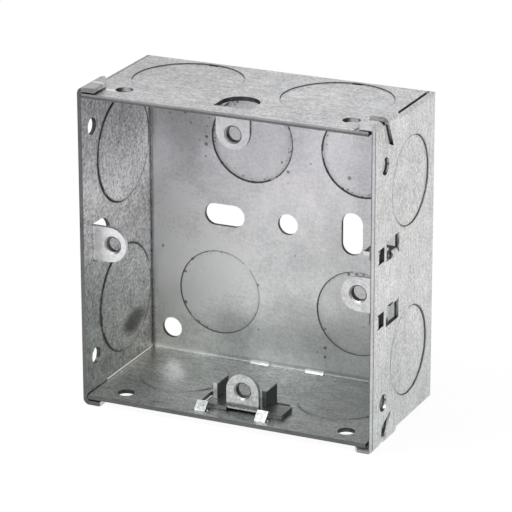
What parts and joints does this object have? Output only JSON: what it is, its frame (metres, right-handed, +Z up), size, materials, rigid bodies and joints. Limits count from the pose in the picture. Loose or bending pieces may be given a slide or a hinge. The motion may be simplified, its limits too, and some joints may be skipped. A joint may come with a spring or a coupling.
{
  "type": "flush back box",
  "caption": "Square flush wall box folded from galvanised sheet steel, open at the front, with knock-outs, wrapped corner tabs, fixed screw lugs and sliding screw lugs.",
  "frame": {"origin": "middle of the box", "axes": "+X to the right seen from the open front, +Y into the wall, +Z up; the open front faces -Y"},
  "size_m": [0.072, 0.035, 0.0758],
  "materials": {
    "galvanised_sheet": "satin zinc coating with rolling grain and handling marks",
    "plated_lug": "satin zinc plating"
  },
  "bodies": {
    "box": {"box": "galvanised_sheet"},
    "side_lug": {"lug_right": "plated_lug"},
    "floor_lug": {"lug_bottom": "plated_lug"}
  },
  "joints": [
    {"name": "right_lug_slide", "type": "slide", "parent": "box", "child": "side_lug", "axis": [0, 0, 1], "range_m": [0, 0.0049]},
    {"name": "bottom_lug_slide", "type": "slide", "parent": "box", "child": "floor_lug", "axis": [1, 0, 0], "range_m": [-0.00455, 0.00035]}
  ]
}
